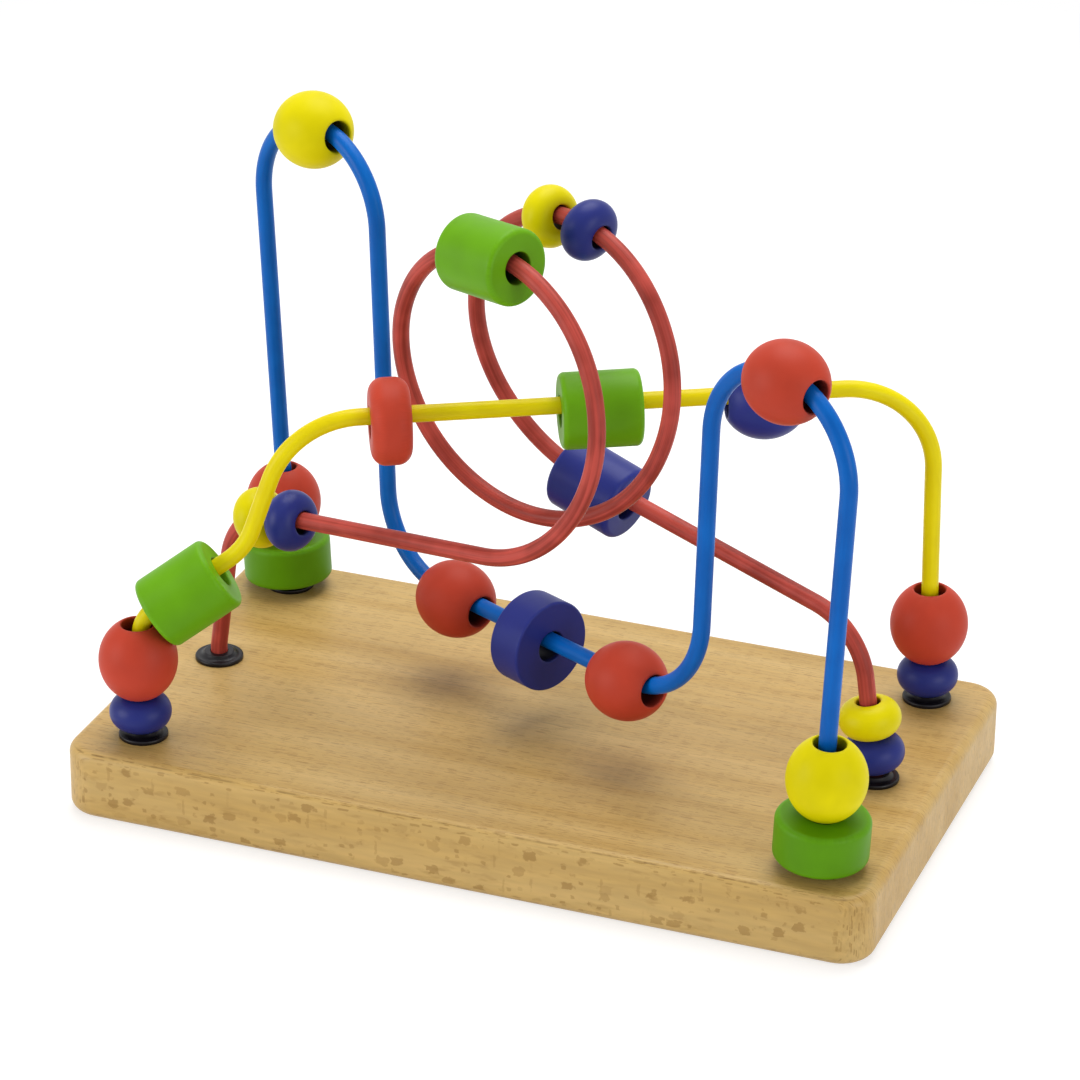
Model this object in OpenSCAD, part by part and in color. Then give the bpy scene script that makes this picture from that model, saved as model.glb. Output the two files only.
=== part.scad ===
// Bead maze: three bent wires stand on a wooden board, and wooden beads slide along them.
// Millimetres, +Z up. The origin is the middle of the board's underside, +X runs along the
// board's length and its front long side faces -Y. The blue wire runs from the back left corner
// to the front right one, the yellow wire from front left to back right, and the red wire along
// the middle with two loops.

/* [Board] */
// Length of the board
board_l = 264; // [250:1:300]
// Width of the board
board_w = 152; // [146:1:180]
// Thickness of the board
board_t = 23; // [20:1:30]
// Radius of the board's corners, seen from above
corner_r = 11; // [6:1:16]
// Radius of the rounded-over edges, top and bottom
edge_r = 3.5; // [1:0.5:5]

/* [Bushes] */
// From the board's end to the middle of a bush
end_inset = 21; // [19:0.5:26]
// From the board's long side to the middle of a corner bush
side_inset = 18.5; // [17:0.5:24]
// Depth of the blind hole for a bush
hole_depth = 15; // [12:0.5:17]
// Diameter of the shank that sits in the hole
shank_d = 9; // [8:0.5:11]
// Diameter of the flange
flange_d = 15.6; // [14:0.2:18]
// Height of the bush above the board
flange_h = 2.6; // [2:0.1:4]
// Height of the straight rim of the flange
rim_h = 1; // [0.5:0.1:1.5]
// Diameter of the flat collar on top
collar_d = 10; // [8:0.5:12]

/* [Fits] */
// Play all round between a shank and its hole, and between a wire end and its bush
fit_gap = 0.05; // [0:0.01:0.1]
// Gap between a bead and what it rests on
rest_gap = 0.3; // [0.1:0.05:0.5]
// How much wider than the wire the bore of a ball, barrel, disc or wheel is
bead_play = 4.6; // [4.2:0.1:5]
// How much wider than the wire the bore of an oval bead is
oval_play = 2.2; // [2:0.1:3]

/* [Wires] */
// Diameter of each wire with its coat
wire_d = 5.4; // [4.6:0.1:6]
// Height above the bushes at which a leaning leg starts
leg_h = 2; // [1.8:0.1:3]

/* [Blue wire] */
// Top of the tall arch above the board
tall_h = 168.6; // [150:0.1:180]
// Distance between the legs of the tall arch at its top
tall_w = 58; // [58:0.2:70]
// How far the outer leg of the tall arch leans out
tall_lean = 12.6; // [6:0.1:16]
// How far the inner leg of the tall arch leans back
tall_back = 7.2; // [3:0.2:9]
// Bend radius of the tall arch
tall_r = 28.2; // [26:0.1:28.2]
// Height of the low run above the board at its left end
dip_left_h = 27.5; // [24:0.5:36]
// Height of the low run above the board at its right end
dip_right_h = 30; // [26:0.5:38]
// Bend radius at the left end of the low run
dip_left_r = 27; // [20:0.5:28]
// Bend radius at the right end of the low run
dip_right_r = 31.5; // [24:0.5:32]
// Top of the low arch above the board
low_h = 152.2; // [140:0.1:165]
// Distance between the legs of the low arch at its top
low_w = 57.6; // [57.4:0.2:70]
// How far the outer leg of the low arch leans out
low_lean = 7.8; // [4:0.1:12]
// How far the inner leg of the low arch leans out
low_back = 3.3; // [2:0.1:6]
// Bend radius of the low arch
low_r = 28; // [26:0.1:28]

/* [Yellow wire] */
// Height of the first slope's corner above the two beads on the left leg
slope_lead = 2.4; // [2:0.1:4]
// How far the first slope runs along the wire's own plane
slope_run = 33.2; // [32:0.2:38]
// Rise of the first slope
slope_rise = 22.7; // [20:0.1:28]
// How far the steep climb runs along the wire's own plane
climb_run = 14.8; // [13:0.1:22]
// Rise of the steep climb
climb_rise = 42.4; // [40:0.1:50]
// Rise of the long top run towards its right end
top_rise = 4.1; // [1:0.1:6]
// How far the right leg leans in
right_lean = 2.2; // [1:0.1:4]
// Bend radius where the left leg turns into the first slope
slope_r = 11; // [9:0.5:12]
// Bend radius at the foot of the steep climb
climb_r = 20; // [16:0.5:24]
// Bend radius at the top of the steep climb
crest_r = 30; // [24:0.5:30]
// Bend radius where the top run turns down
turn_r = 29; // [22:0.5:32]

/* [Red wire] */
// Radius of the two loops
loop_r = 46.2; // [42:0.2:50]
// Height of the middle of the loops above the board
loop_h = 116.5; // [110:0.5:124]
// How far the wire moves along the loops' axis in one turn
loop_pitch = 36; // [30:0.5:44]
// Rise of the loops' axis in one turn
loop_rise = 0.9; // [-2:0.1:4]
// Direction of the loops' axis, seen from above
loop_axis = 71; // [60:1:80]
// Offset of the loops from the middle of the board along its length
loop_shift = -2.5; // [-8:0.5:4]
// Angle on the first loop at which the left run meets it
loop_start = -81; // [-86:1:-74]
// Angle on the second loop, turns counted, at which the right run leaves it
loop_end = 624; // [616:1:630]
// Height above the board at which the left leg turns into its run
left_turn_h = 55; // [50:0.5:62]
// How far the left leg leans in
left_turn_lean = 6.5; // [5:0.5:11]
// Height above the board at which the right run turns into its leg
right_turn_h = 51; // [46:0.5:58]
// How far the right leg leans in
right_turn_lean = 6.5; // [4:0.5:9]
// Bend radius at the top of both legs
shoulder_r = 23.5; // [16:0.5:24]

/* [Beads] */
// Diameter of a ball
ball_d = 24.8; // [23:0.2:27]
// Length of a ball along its bore
ball_len = 24.4; // [22:0.2:25]
// Diameter of an oval bead
oval_d = 19.6; // [18:0.2:22]
// Length of an oval bead along its bore
oval_len = 11.4; // [11:0.2:13]
// Diameter of a barrel
barrel_d = 24; // [22:0.5:26]
// Length of a barrel along its bore
barrel_len = 25; // [22:0.5:26]
// Radius of a barrel's rounded rims
barrel_edge = 1.8; // [0.5:0.1:3]
// Diameter of a green disc
green_disc_d = 29.2; // [26:0.2:32]
// Diameter of the navy disc
navy_disc_d = 29.6; // [26:0.2:32]
// Length of a green disc along its bore
green_disc_len = 14.4; // [12:0.2:17]
// Length of the navy disc along its bore
navy_disc_len = 12.6; // [11:0.2:15]
// Radius of a green disc's rounded rims
green_disc_edge = 2; // [0.5:0.1:3]
// Radius of the navy disc's rounded rims
navy_disc_edge = 0.8; // [0.4:0.1:2]
// Diameter of the red wheel
wheel_d = 27.2; // [25:0.2:30]
// Length of the red wheel along its bore
wheel_len = 12.6; // [11:0.2:15]
// Radius of the red wheel's rounded rims
wheel_edge = 4.6; // [2:0.1:5]
// Width of the flat rim round the bore of a ball or an oval
bore_rim = 0.6; // [0.3:0.1:1]

/* [Bead places] */
// How far the balls and discs on the legs sit out from the middle of their wire
leg_bead_shift = 0.9; // [0:0.1:1.5]
// How far the ovals on the front left leg sit out from the middle of their wire
leg_oval_shift = 0.7; // [0:0.1:0.7]
// Green barrel on the first slope, from the bend below it to its lower face
slope_barrel_at = 4.6; // [4.4:0.1:8]
// Red wheel on the yellow run, from the corner at its left end
wheel_at = 30.2; // [28:0.2:40]
// Green barrel on the yellow run, right of the middle
run_barrel_at = 18; // [8:0.5:22]
// Blue ball on the yellow run, from the corner at its right end
run_ball_at = 53.5; // [42:0.5:54]
// Yellow ball on the tall arch, angle back from its middle
tall_ball_angle = 5; // [0:1:20]
// Left red ball on the low run, from the corner at its left end
dip_left_at = 32.2; // [31:0.2:38]
// Tilt of that ball, whose left end lies on the bend
dip_left_tilt = -2; // [-4:0.5:-1]
// Navy disc on the low run, left of the middle
dip_disc_at = 0.7; // [0:0.1:4]
// Right red ball on the low run, from the corner at its right end
dip_right_at = 31.6; // [31.6:0.2:38]
// Tilt of that ball, whose right end lies on the bend
dip_right_tilt = 4.5; // [2:0.5:5]
// Red ball on the low arch, angle forward from its middle
low_ball_angle = 3; // [0:1:20]
// Yellow oval on the left shoulder, angle back from the end of the bend
shoulder_oval_angle = 17; // [17:1:34]
// Blue oval on the left run, from the end of the bend
left_run_oval_at = 6.8; // [6.6:0.2:30]
// Green barrel on the front loop, angle on the loops
front_barrel_angle = 94; // [70:1:110]
// Blue oval on the back loop, angle on the loops
back_blue_angle = 441; // [420:1:443]
// Yellow oval on the back loop, angle on the loops
back_yellow_angle = 463; // [461:1:490]
// Navy barrel on the right run, from the end of the loop
right_run_barrel_at = 4.8; // [4.8:0.2:40]
// Tilt of that barrel, whose left end lies on the loop
right_run_barrel_tilt = -2; // [-3:0.5:-1]

/* [Hidden] */

// Paints and finishes
beech = "#C9A36B";
bush_black = "#1E1C1E";
blue_coat = "#0E5FAE";
yellow_coat = "#E0CC14";
red_coat = "#A9453C";
red_paint = "#BE4433";
yellow_paint = "#E2D203";
green_paint = "#66A31B";
navy_paint = "#2F3582";

up = [0, 0, 1];

// Bores and the drop of a bead that hangs on its wire
bead_bore = wire_d + bead_play;
oval_bore = wire_d + oval_play;
bead_drop = bead_play / 2 - rest_gap;
oval_drop = oval_play / 2 - rest_gap;
// A ball on an arch hangs a little less low, so that it clears both halves of the arch as it moves
arch_slack = 0.2;
arch_drop = bead_drop - arch_slack;

// Places of the bushes and heights at the wire ends
bush_x = board_l / 2 - end_inset;
bush_y = board_w / 2 - side_inset;
seat_z = board_t + flange_h;
leg_z = seat_z + leg_h;
hole_end_gap = 1;
shank_z = board_t - hole_depth + hole_end_gap;
wire_end_z = shank_z + hole_end_gap;

// A bend is drawn this much thicker than the straights that run into it, so that the two join
// without faces that graze each other
bend_swell = 0.02;
bend_lap = 0.3;

// Radius of the slight bend at the foot of a leaning leg, by wire
blue_foot_r = 25;
yellow_foot_r = 100;
red_foot_r = 14;

// A route is a list of [corner, bend radius]; its first and last points are the wire's ends
function unit(v) = v / norm(v);
function corner(r, i) = r[i][0];
function radius(r, i) = r[i][1];
// Direction of the straight that leaves corner i
function run_dir(r, i) = unit(corner(r, i + 1) - corner(r, i));
// Angle that the wire turns through at corner i
function turn(r, i) = acos(run_dir(r, i - 1) * run_dir(r, i));
// Distance from corner i to the start and to the end of its bend
function setback(r, i) = i > 0 && i < len(r) - 1 ? radius(r, i) * tan(turn(r, i) / 2) : 0;
function bend_axis(r, i) = unit(cross(run_dir(r, i - 1), run_dir(r, i)));
// From the start of bend i towards its centre
function bend_in(r, i) = cross(bend_axis(r, i), run_dir(r, i - 1));
function bend_centre(r, i) =
    corner(r, i) - setback(r, i) * run_dir(r, i - 1) + radius(r, i) * bend_in(r, i);
// A direction square to v
function square_to(v) = unit(cross(v, abs(v * up) < 0.9 ? up : [1, 0, 0]));
// Straight down, as far as it is square to v
function down_from(v) = unit((v * up) * v - up);

// A point in the upright plane through both corner bushes of a wire: s along it from the middle
// of the board, h above the board
corner_span = norm([bush_x, bush_y]);
function blue_point(s, h) = [s * bush_x / corner_span, -s * bush_y / corner_span, board_t + h];
function yellow_point(s, h) = [s * bush_x / corner_span, s * bush_y / corner_span, board_t + h];

end_h = wire_end_z - board_t;
foot_h = leg_z - board_t;

// Blue wire: tall arch, low run, low arch
tall_out = -corner_span - tall_lean;
tall_in = tall_out + tall_w;
low_out = corner_span + low_lean;
low_in = low_out - low_w;
dip_left_s = tall_in + tall_back;
dip_right_s = low_in - low_back;
blue_route = [
    [blue_point(-corner_span, end_h), 0],
    [blue_point(-corner_span, foot_h), blue_foot_r],
    [blue_point(tall_out, tall_h), tall_r],
    [blue_point(tall_in, tall_h), tall_r],
    [blue_point(dip_left_s, dip_left_h), dip_left_r],
    [blue_point(dip_right_s, dip_right_h), dip_right_r],
    [blue_point(low_in, low_h), low_r],
    [blue_point(low_out, low_h), low_r],
    [blue_point(corner_span, foot_h), blue_foot_r],
    [blue_point(corner_span, end_h), 0]
];

// Yellow wire: the first slope starts just above the two beads on the left leg
slope_h = flange_h + oval_len + ball_len + slope_lead;
climb_h = slope_h + slope_rise;
top_h = climb_h + climb_rise;
climb_s = -corner_span + slope_run;
top_s = climb_s + climb_run;
turn_s = corner_span - right_lean;
yellow_route = [
    [yellow_point(-corner_span, end_h), 0],
    [yellow_point(-corner_span, slope_h), slope_r],
    [yellow_point(climb_s, climb_h), climb_r],
    [yellow_point(top_s, top_h), crest_r],
    [yellow_point(turn_s, top_h + top_rise), turn_r],
    [yellow_point(corner_span, foot_h), yellow_foot_r],
    [yellow_point(corner_span, end_h), 0]
];

// Red wire: a helix of short bends between two legs. The corners of the loops lie outside the
// helix, so that the bends follow the loop radius
loop_bends = 15;
loop_step = (loop_end - loop_start) / loop_bends;
loop_across = [sin(loop_axis), -cos(loop_axis), 0];
loop_along = [cos(loop_axis), sin(loop_axis), 0];
loop_middle = [loop_shift, 0, board_t + loop_h];
// The middle of the wire is the bottom between the two loops, three quarters of a turn in
loop_middle_turn = 0.75;
function loop_point(angle, r) =
    loop_middle + (loop_pitch * loop_along + loop_rise * up) * (angle / 360 - loop_middle_turn)
    + r * (cos(angle) * loop_across + sin(angle) * up);
left_foot = [-bush_x, 0, 0];
right_foot = [bush_x, 0, 0];
red_corners = concat(
    [
        [left_foot + wire_end_z * up, 0],
        [left_foot + leg_z * up, red_foot_r],
        [left_foot + [left_turn_lean, 0, board_t + left_turn_h], shoulder_r]
    ],
    [
        for (k = [0 : loop_bends - 1])
            [loop_point(loop_start + loop_step * (k + 0.5), loop_r / cos(loop_step / 2)), 0]
    ],
    [
        [right_foot + [-right_turn_lean, 0, board_t + right_turn_h], shoulder_r],
        [right_foot + leg_z * up, red_foot_r],
        [right_foot + wire_end_z * up, 0]
    ]
);
first_loop_corner = 3;
last_loop_corner = first_loop_corner + loop_bends - 1;
// Straight left between two bends of the loops; each bend takes the radius that leaves it
loop_straight = 0.8;
loop_side = norm(corner(red_corners, first_loop_corner + 1) - corner(red_corners, first_loop_corner));
function loop_bend_r(i) = (loop_side - loop_straight) / 2 / tan(turn(red_corners, i) / 2);
red_route = [
    for (i = [0 : len(red_corners) - 1])
        i >= first_loop_corner && i <= last_loop_corner
            ? [corner(red_corners, i), loop_bend_r(i)]
            : red_corners[i]
];

// Corners named by what they are
tall_out_corner = 2;
tall_in_corner = 3;
dip_left_corner = 4;
dip_right_corner = 5;
low_in_corner = 6;
slope_corner = 1;
top_corner = 3;
shoulder_corner = 2;

// Moves a shape so that its origin lies at a point and its Z and X axes along two directions
module aim(at, z, x) {
    y = cross(z, x);
    multmatrix([
        [x[0], y[0], z[0], at[0]],
        [x[1], y[1], z[1], at[1]],
        [x[2], y[2], z[2], at[2]]
    ]) children();
}

// One wire along its route: a cylinder for each straight and a part of a ring for each bend
module bent_wire(r) {
    last = len(r) - 1;
    for (i = [0 : last - 1]) {
        d = run_dir(r, i);
        a = corner(r, i) + (setback(r, i) - (i > 0 ? bend_lap : 0)) * d;
        b = corner(r, i + 1) - (setback(r, i + 1) - (i < last - 1 ? bend_lap : 0)) * d;
        aim(a, d, square_to(d)) cylinder(d = wire_d, h = norm(b - a), $fn = 48);
    }
    for (i = [1 : last - 1])
        aim(bend_centre(r, i), bend_axis(r, i), -bend_in(r, i))
            rotate_extrude(angle = turn(r, i), $fn = 96)
                translate([radius(r, i), 0]) circle(d = wire_d + bend_swell, $fn = 48);
}

// The leg at the left or the right end of a route, as [its foot, its direction upwards]
function left_leg(r) = [corner(r, 1), run_dir(r, 1)];
function right_leg(r) = [corner(r, len(r) - 2), -run_dir(r, len(r) - 3)];
// The left leg of the yellow wire has no slight bend and stands upright on its bush
upright_leg = [yellow_point(-corner_span, foot_h), up];
// Distance along a leg at which a bead's lower face clears the collar of the bush
function leg_seat(leg) =
    let (lean = acos(leg[1] * up))
    (seat_z + rest_gap + collar_d / 2 * sin(lean) - leg_z) / cos(lean);

// Outwards from the middle of the board along its diagonal, at a leg
function outward(leg) = unit([leg[0][0], leg[0][1], 0]);

// Bead whose lower face lies at distance t above the seat of a leg, set outwards by shift
module on_leg(leg, t, length, shift = 0)
    aim(leg[0] + (leg_seat(leg) + t + length / 2) * leg[1] + shift * outward(leg), leg[1], square_to(leg[1]))
        children();

// Bead at distance t along the straight that leaves corner i, hanging on the wire by drop. A tilt
// above zero raises its far end about its near end, and one below zero its near end about the far one
module on_run(r, i, t, drop, tilt = 0, length = 0) {
    d = run_dir(r, i);
    down = down_from(d);
    along = cos(tilt) * d - sin(tilt) * down;
    aim(corner(r, i) + t * d + (drop - length / 2 * sin(abs(tilt))) * down, along, square_to(d)) children();
}

// Bead at an angle from the start of bend i, set towards the bend's centre by drop
module on_bend(r, i, angle, drop) {
    d = run_dir(r, i - 1);
    out = sin(angle) * d - cos(angle) * bend_in(r, i);
    along = cos(angle) * d + sin(angle) * bend_in(r, i);
    aim(bend_centre(r, i) + (radius(r, i) - drop) * out, along, bend_axis(r, i)) children();
}

// Bead at an angle on the loops of the red wire
module on_loop(angle, drop) {
    k = floor((angle - loop_start) / loop_step);
    on_bend(red_route, first_loop_corner + k, angle - loop_start - k * loop_step, drop) children();
}

// Half section of an oval bead: an arc through the widest point and both rims of the bore
module oval_section() {
    bulge = (oval_d - oval_bore) / 2 - bore_rim;
    arc_r = (oval_len * oval_len / 4 + bulge * bulge) / (2 * bulge);
    intersection() {
        translate([oval_d / 2 - arc_r, 0]) circle(r = arc_r, $fn = 96);
        translate([oval_bore / 2, -oval_len / 2]) square([oval_d, oval_len]);
    }
}

// Half section with straight sides and rounded rims, from radius a to radius b
module rounded_section(a, b, length, edge) {
    difference() {
        translate([a, -length / 2]) square([b - a, length]);
        for (side = [0, 1]) mirror([0, side]) translate([b - edge, length / 2 - edge]) difference() {
            square(2 * edge);
            circle(r = edge, $fn = 48);
        }
    }
}

// Half section of a ball: two round halves with a narrow straight band between them, cut flat at
// both rims of the bore
module ball_section() {
    round_len = 2 * sqrt(pow(ball_d / 2, 2) - pow(bead_bore / 2 + bore_rim, 2));
    band = ball_len - round_len;
    intersection() {
        rounded_section(0, ball_d / 2, ball_d + band, ball_d / 2);
        translate([bead_bore / 2, -ball_len / 2]) square([ball_d, ball_len]);
    }
}

module ball() rotate_extrude($fn = 72) ball_section();
module oval() rotate_extrude($fn = 72) oval_section();
module turned(d, length, edge)
    rotate_extrude($fn = 72) rounded_section(bead_bore / 2, d / 2, length, edge);
module barrel() turned(barrel_d, barrel_len, barrel_edge);
module green_disc() turned(green_disc_d, green_disc_len, green_disc_edge);
module navy_disc() turned(navy_disc_d, navy_disc_len, navy_disc_edge);
module wheel() turned(wheel_d, wheel_len, wheel_edge);

// The board: a middle block, four edge strips and four corners, drilled for the bushes
module base_board() {
    inner_x = board_l / 2 - corner_r;
    inner_y = board_w / 2 - corner_r;
    color(beech) difference() {
        translate([0, 0, board_t / 2]) union() {
            cube([2 * inner_x, 2 * inner_y, board_t], center = true);
            for (side = [0, 1]) {
                mirror([0, side, 0]) translate([-inner_x, inner_y, 0]) rotate([90, 0, 90])
                    linear_extrude(2 * inner_x) rounded_section(0, corner_r, board_t, edge_r);
                mirror([side, 0, 0]) translate([inner_x, inner_y, 0]) rotate([90, 0, 0])
                    linear_extrude(2 * inner_y) rounded_section(0, corner_r, board_t, edge_r);
                for (end = [0, 1]) mirror([end, 0, 0]) mirror([0, side, 0])
                    translate([inner_x, inner_y, 0]) rotate_extrude(angle = 90, $fn = 96)
                        rounded_section(0, corner_r, board_t, edge_r);
            }
        }
        for (x = [-bush_x, bush_x], y = [-bush_y, 0, bush_y])
            translate([x, y, board_t - hole_depth]) cylinder(d = shank_d + 2 * fit_gap, h = board_t, $fn = 48);
    }
}

// A bush: shank in the board, flange on it, and a bore for the wire end
module bush(x, y) {
    color(bush_black) translate([x, y, 0]) rotate_extrude($fn = 72) polygon([
        [wire_d / 2 + fit_gap, shank_z],
        [shank_d / 2, shank_z],
        [shank_d / 2, board_t],
        [flange_d / 2, board_t],
        [flange_d / 2, board_t + rim_h],
        [collar_d / 2, seat_z],
        [wire_d / 2 + fit_gap, seat_z]
    ]);
}

module front_left_bush() bush(-bush_x, -bush_y);
module back_left_bush() bush(-bush_x, bush_y);
module left_bush() bush(-bush_x, 0);
module front_right_bush() bush(bush_x, -bush_y);
module back_right_bush() bush(bush_x, bush_y);
module right_bush() bush(bush_x, 0);

module blue_wire() color(blue_coat) bent_wire(blue_route);
module yellow_wire() color(yellow_coat) bent_wire(yellow_route);
module red_wire() color(red_coat) bent_wire(red_route);

// Beads on the blue wire, from its left end to its right end
disc_top = green_disc_len + rest_gap;
dip_run = norm(corner(blue_route, dip_right_corner) - corner(blue_route, dip_left_corner));
dip_mid_t = -dip_left_s / (dip_right_s - dip_left_s) * dip_run;
module back_left_green_disc()
    color(green_paint) on_leg(left_leg(blue_route), 0, green_disc_len, leg_bead_shift) green_disc();
module back_left_red_ball()
    color(red_paint) on_leg(left_leg(blue_route), disc_top, ball_len, leg_bead_shift) ball();
module tall_arch_yellow_ball()
    color(yellow_paint)
        on_bend(blue_route, tall_out_corner, turn(blue_route, tall_out_corner) - tall_ball_angle, arch_drop)
            ball();
module dip_left_red_ball()
    color(red_paint) on_run(blue_route, dip_left_corner, dip_left_at, bead_drop, dip_left_tilt, ball_len) ball();
module dip_navy_disc()
    color(navy_paint)
        on_run(blue_route, dip_left_corner, dip_mid_t - dip_disc_at, bead_drop) navy_disc();
module dip_right_red_ball()
    color(red_paint)
        on_run(blue_route, dip_left_corner, dip_run - dip_right_at, bead_drop, dip_right_tilt, ball_len) ball();
module low_arch_red_ball()
    color(red_paint) on_bend(blue_route, low_in_corner + 1, low_ball_angle, arch_drop) ball();
module front_right_yellow_ball()
    color(yellow_paint) on_leg(right_leg(blue_route), disc_top, ball_len, leg_bead_shift) ball();
module front_right_green_disc()
    color(green_paint) on_leg(right_leg(blue_route), 0, green_disc_len, leg_bead_shift) green_disc();

// Beads on the yellow wire, from its left end to its right end
oval_top = oval_len + rest_gap;
top_run = norm(corner(yellow_route, top_corner + 1) - corner(yellow_route, top_corner));
top_mid_t = -top_s / (turn_s - top_s) * top_run;
module front_left_blue_oval()
    color(navy_paint) on_leg(upright_leg, 0, oval_len, leg_oval_shift) oval();
module front_left_red_ball()
    color(red_paint) on_leg(upright_leg, oval_top, ball_len, leg_bead_shift) ball();
module front_left_green_barrel()
    color(green_paint)
        on_run(yellow_route, slope_corner, slope_barrel_at + barrel_len / 2, bead_drop) barrel();
module yellow_run_red_wheel()
    color(red_paint) on_run(yellow_route, top_corner, wheel_at, bead_drop) wheel();
module yellow_run_green_barrel()
    color(green_paint) on_run(yellow_route, top_corner, top_mid_t + run_barrel_at, bead_drop) barrel();
module yellow_run_blue_ball()
    color(navy_paint) on_run(yellow_route, top_corner, top_run - run_ball_at, bead_drop) ball();
module back_right_red_ball()
    color(red_paint) on_leg(right_leg(yellow_route), oval_top, ball_len) ball();
module back_right_blue_oval()
    color(navy_paint) on_leg(right_leg(yellow_route), 0, oval_len) oval();

// Beads on the red wire, from its left end to its right end
module left_bend_yellow_oval()
    color(yellow_paint)
        on_bend(red_route, shoulder_corner, turn(red_route, shoulder_corner) - shoulder_oval_angle, oval_drop)
            oval();
module left_run_blue_oval()
    color(navy_paint)
        on_run(red_route, shoulder_corner, setback(red_route, shoulder_corner) + left_run_oval_at, oval_drop)
            oval();
module front_loop_green_barrel()
    color(green_paint) on_loop(front_barrel_angle, bead_drop) barrel();
module back_loop_yellow_oval()
    color(yellow_paint) on_loop(back_yellow_angle, oval_drop) oval();
module back_loop_blue_oval()
    color(navy_paint) on_loop(back_blue_angle, oval_drop) oval();
module right_run_navy_barrel()
    color(navy_paint)
        on_run(red_route, last_loop_corner, setback(red_route, last_loop_corner) + right_run_barrel_at,
            bead_drop, right_run_barrel_tilt, barrel_len) barrel();
module right_leg_yellow_oval()
    color(yellow_paint) on_leg(right_leg(red_route), oval_top, oval_len) oval();
module right_leg_blue_oval()
    color(navy_paint) on_leg(right_leg(red_route), 0, oval_len) oval();

base_board();
front_left_bush();
back_left_bush();
left_bush();
front_right_bush();
back_right_bush();
right_bush();
blue_wire();
yellow_wire();
red_wire();
back_left_green_disc();
back_left_red_ball();
tall_arch_yellow_ball();
dip_left_red_ball();
dip_navy_disc();
dip_right_red_ball();
low_arch_red_ball();
front_right_yellow_ball();
front_right_green_disc();
front_left_blue_oval();
front_left_red_ball();
front_left_green_barrel();
yellow_run_red_wheel();
yellow_run_green_barrel();
yellow_run_blue_ball();
back_right_red_ball();
back_right_blue_oval();
left_bend_yellow_oval();
left_run_blue_oval();
front_loop_green_barrel();
back_loop_yellow_oval();
back_loop_blue_oval();
right_run_navy_barrel();
right_leg_yellow_oval();
right_leg_blue_oval();
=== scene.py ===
# Bead maze: a beech board, three coated wires held in moulded bushes, and painted wooden beads on the wires
import math

import bpy
import numpy as np
from mathutils import Matrix


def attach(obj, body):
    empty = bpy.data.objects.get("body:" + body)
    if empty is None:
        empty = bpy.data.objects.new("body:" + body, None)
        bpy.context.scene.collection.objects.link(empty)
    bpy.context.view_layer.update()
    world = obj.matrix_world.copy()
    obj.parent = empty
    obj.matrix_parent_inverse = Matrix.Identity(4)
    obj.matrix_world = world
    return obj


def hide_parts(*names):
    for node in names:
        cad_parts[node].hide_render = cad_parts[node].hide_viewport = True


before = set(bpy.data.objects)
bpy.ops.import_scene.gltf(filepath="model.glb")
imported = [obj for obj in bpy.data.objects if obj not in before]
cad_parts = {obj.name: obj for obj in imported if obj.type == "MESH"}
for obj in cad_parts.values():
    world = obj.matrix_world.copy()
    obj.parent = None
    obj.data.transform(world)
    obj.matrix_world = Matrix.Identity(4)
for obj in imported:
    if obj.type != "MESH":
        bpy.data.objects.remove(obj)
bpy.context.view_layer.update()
scene = bpy.context.scene
mm = 0.001
print("frame loaded,", len(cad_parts), "nodes")


# Camera at the photograph's viewing angle
camera = {
    "azimuth": 20.52,  # degrees, seen from the front towards the right
    "elevation": 25.646,
    "roll": 0.566,
    "lens": 150.25,  # mm
    "sensor": 36.0,  # mm
    "place": (443.26, -1184.78, 692.31),  # mm
    "clip": (0.05, 20.0),  # metres
}


# The camera's axes are right, up and back; the roll turns right and up about back
def makeCamera(c):
    a, e, r = (math.radians(c[k]) for k in ("azimuth", "elevation", "roll"))
    back = np.array([math.sin(a) * math.cos(e), -math.cos(a) * math.cos(e), math.sin(e)])
    right = np.array([math.cos(a), math.sin(a), 0.0])
    upward = np.cross(back, right)
    axes = [math.cos(r) * right + math.sin(r) * upward, math.cos(r) * upward - math.sin(r) * right, back]
    data = bpy.data.cameras.new("camera")
    data.sensor_width = c["sensor"]
    data.lens = c["lens"]
    data.clip_start, data.clip_end = c["clip"]
    cam = bpy.data.objects.new("camera", data)
    matrix = np.eye(4)
    matrix[:3, :3] = np.stack(axes, 1)
    matrix[:3, 3] = np.array(c["place"]) * mm
    cam.matrix_world = Matrix(matrix.tolist())
    scene.collection.objects.link(cam)
    scene.camera = cam


makeCamera(camera)
print("camera set")


# sRGB hex to linear: a channel is divided by 12.92 when small, else shifted, scaled and raised to 2.4
def hexColour(code, gain=1.0):
    c = np.array([int(code[k:k + 2], 16) for k in (1, 3, 5)]) / 255
    linear = np.where(c <= 0.04045, c / 12.92, ((c + 0.055) / 1.055) ** 2.4)
    return (*np.clip(linear * gain, 0, 1).tolist(), 1.0)


# Adds a node with its settings; each input is a constant, or a socket that gets linked
def addNode(tree, kind, inputs, **settings):
    node = tree.nodes.new(kind)
    for key, value in settings.items():
        setattr(node, key, value)
    for key, value in inputs.items():
        if isinstance(value, bpy.types.NodeSocket):
            tree.links.new(value, node.inputs[key])
        else:
            node.inputs[key].default_value = value
    return node


def newMaterial(name):
    material = bpy.data.materials.new(name)
    material.use_nodes = True
    material.node_tree.nodes.clear()
    return material, material.node_tree


noiseLow, noiseHigh = 0.3, 0.7  # most of a noise texture lies between these

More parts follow.
